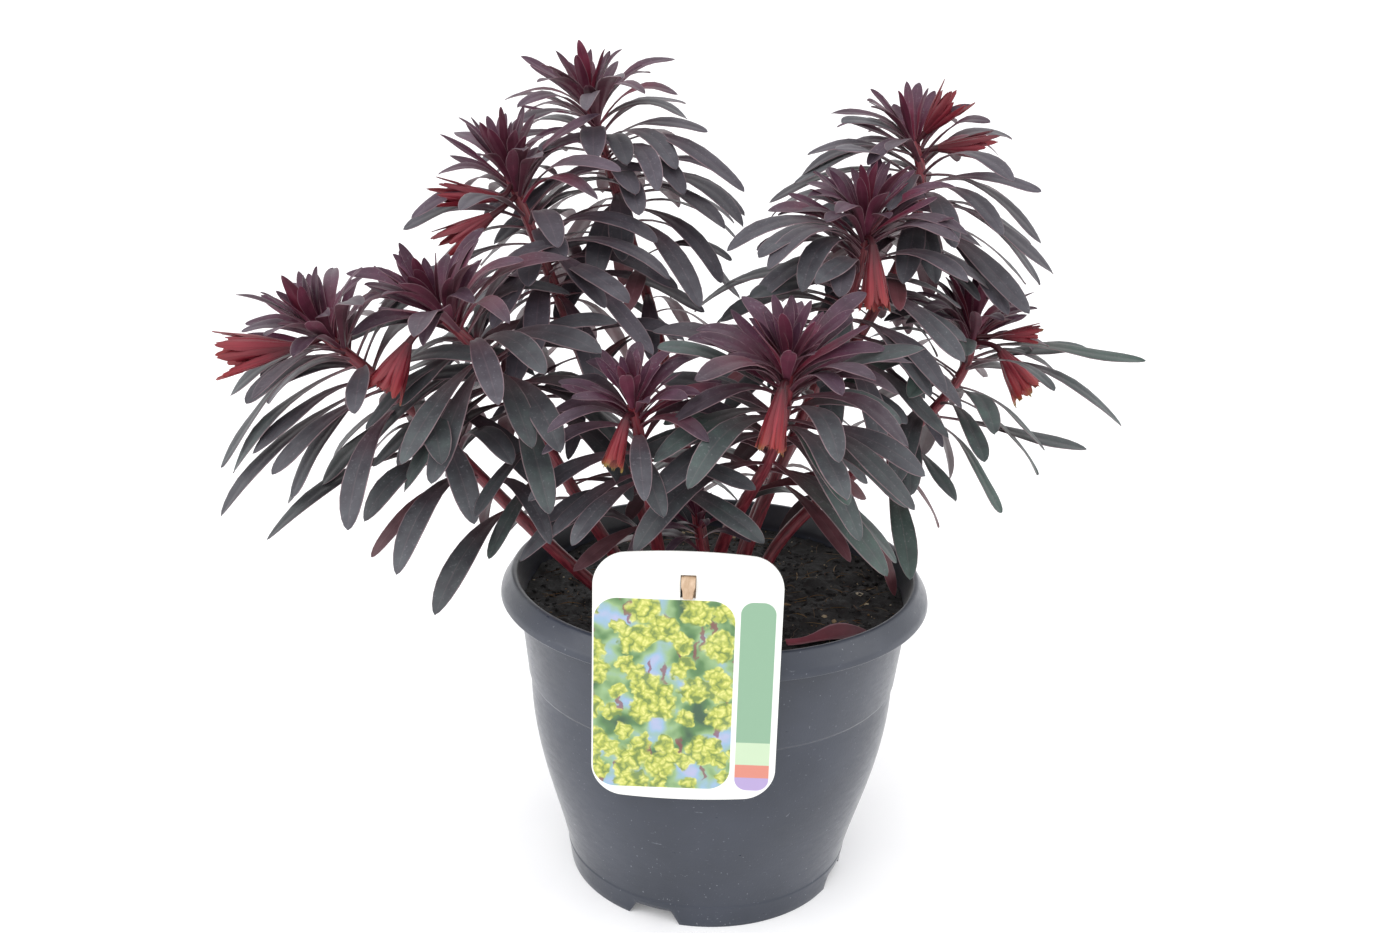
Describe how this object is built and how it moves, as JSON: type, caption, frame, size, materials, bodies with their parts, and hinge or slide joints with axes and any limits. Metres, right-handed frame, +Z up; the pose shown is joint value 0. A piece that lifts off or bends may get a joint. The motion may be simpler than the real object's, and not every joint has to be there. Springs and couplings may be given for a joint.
{
  "type": "potted euphorbia",
  "caption": "Dark-leaved spurge with spreading crimson stems, whorled crowns and drooping red buds in a round plastic nursery pot with a printed card on a pin.",
  "frame": {"origin": "centre of the pot's foot, on the surface that it stands on", "axes": "+Z up along the pot's axis, -Y towards the front, where the card hangs, +X to the right seen from the front"},
  "size_m": [0.4047, 0.2182, 0.3626],
  "materials": {
    "pot_plastic": "moulded slate-blue polypropylene, satin, lightly scuffed",
    "compost": "damp dark peat and bark compost with fibres",
    "printed_card": "smooth printed plastic card",
    "pin_plastic": "tan moulded strip",
    "dry_leaf": "dry reddish-brown leaf",
    "foliage": "waxy dark leaves from burgundy to grey-green on crimson stems",
    "bracts": "coral-red bracts with orange and yellow-green tips"
  },
  "bodies": {
    "root": {"pot": "pot_plastic", "soil": "compost", "label": "printed_card", "label_pin": "pin_plastic", "fallen_leaf": "dry_leaf", "leafy_stem_1": "foliage", "leafy_stem_2": "foliage", "leafy_stem_3": "foliage", "leafy_stem_4": "foliage", "leafy_stem_5": "foliage", "leafy_stem_6": "foliage", "leafy_stem_7": "foliage", "leafy_stem_8": "foliage", "leafy_stem_9": "foliage", "basal_shoot_1": "foliage", "bud_1": "bracts", "bud_2": "bracts", "bud_3": "bracts", "bud_4": "bracts", "bud_5": "bracts", "bud_6": "bracts", "bud_7": "bracts", "bud_8": "bracts", "bud_9": "bracts", "bud_10": "bracts", "bud_11": "bracts"}
  },
  "joints": []
}
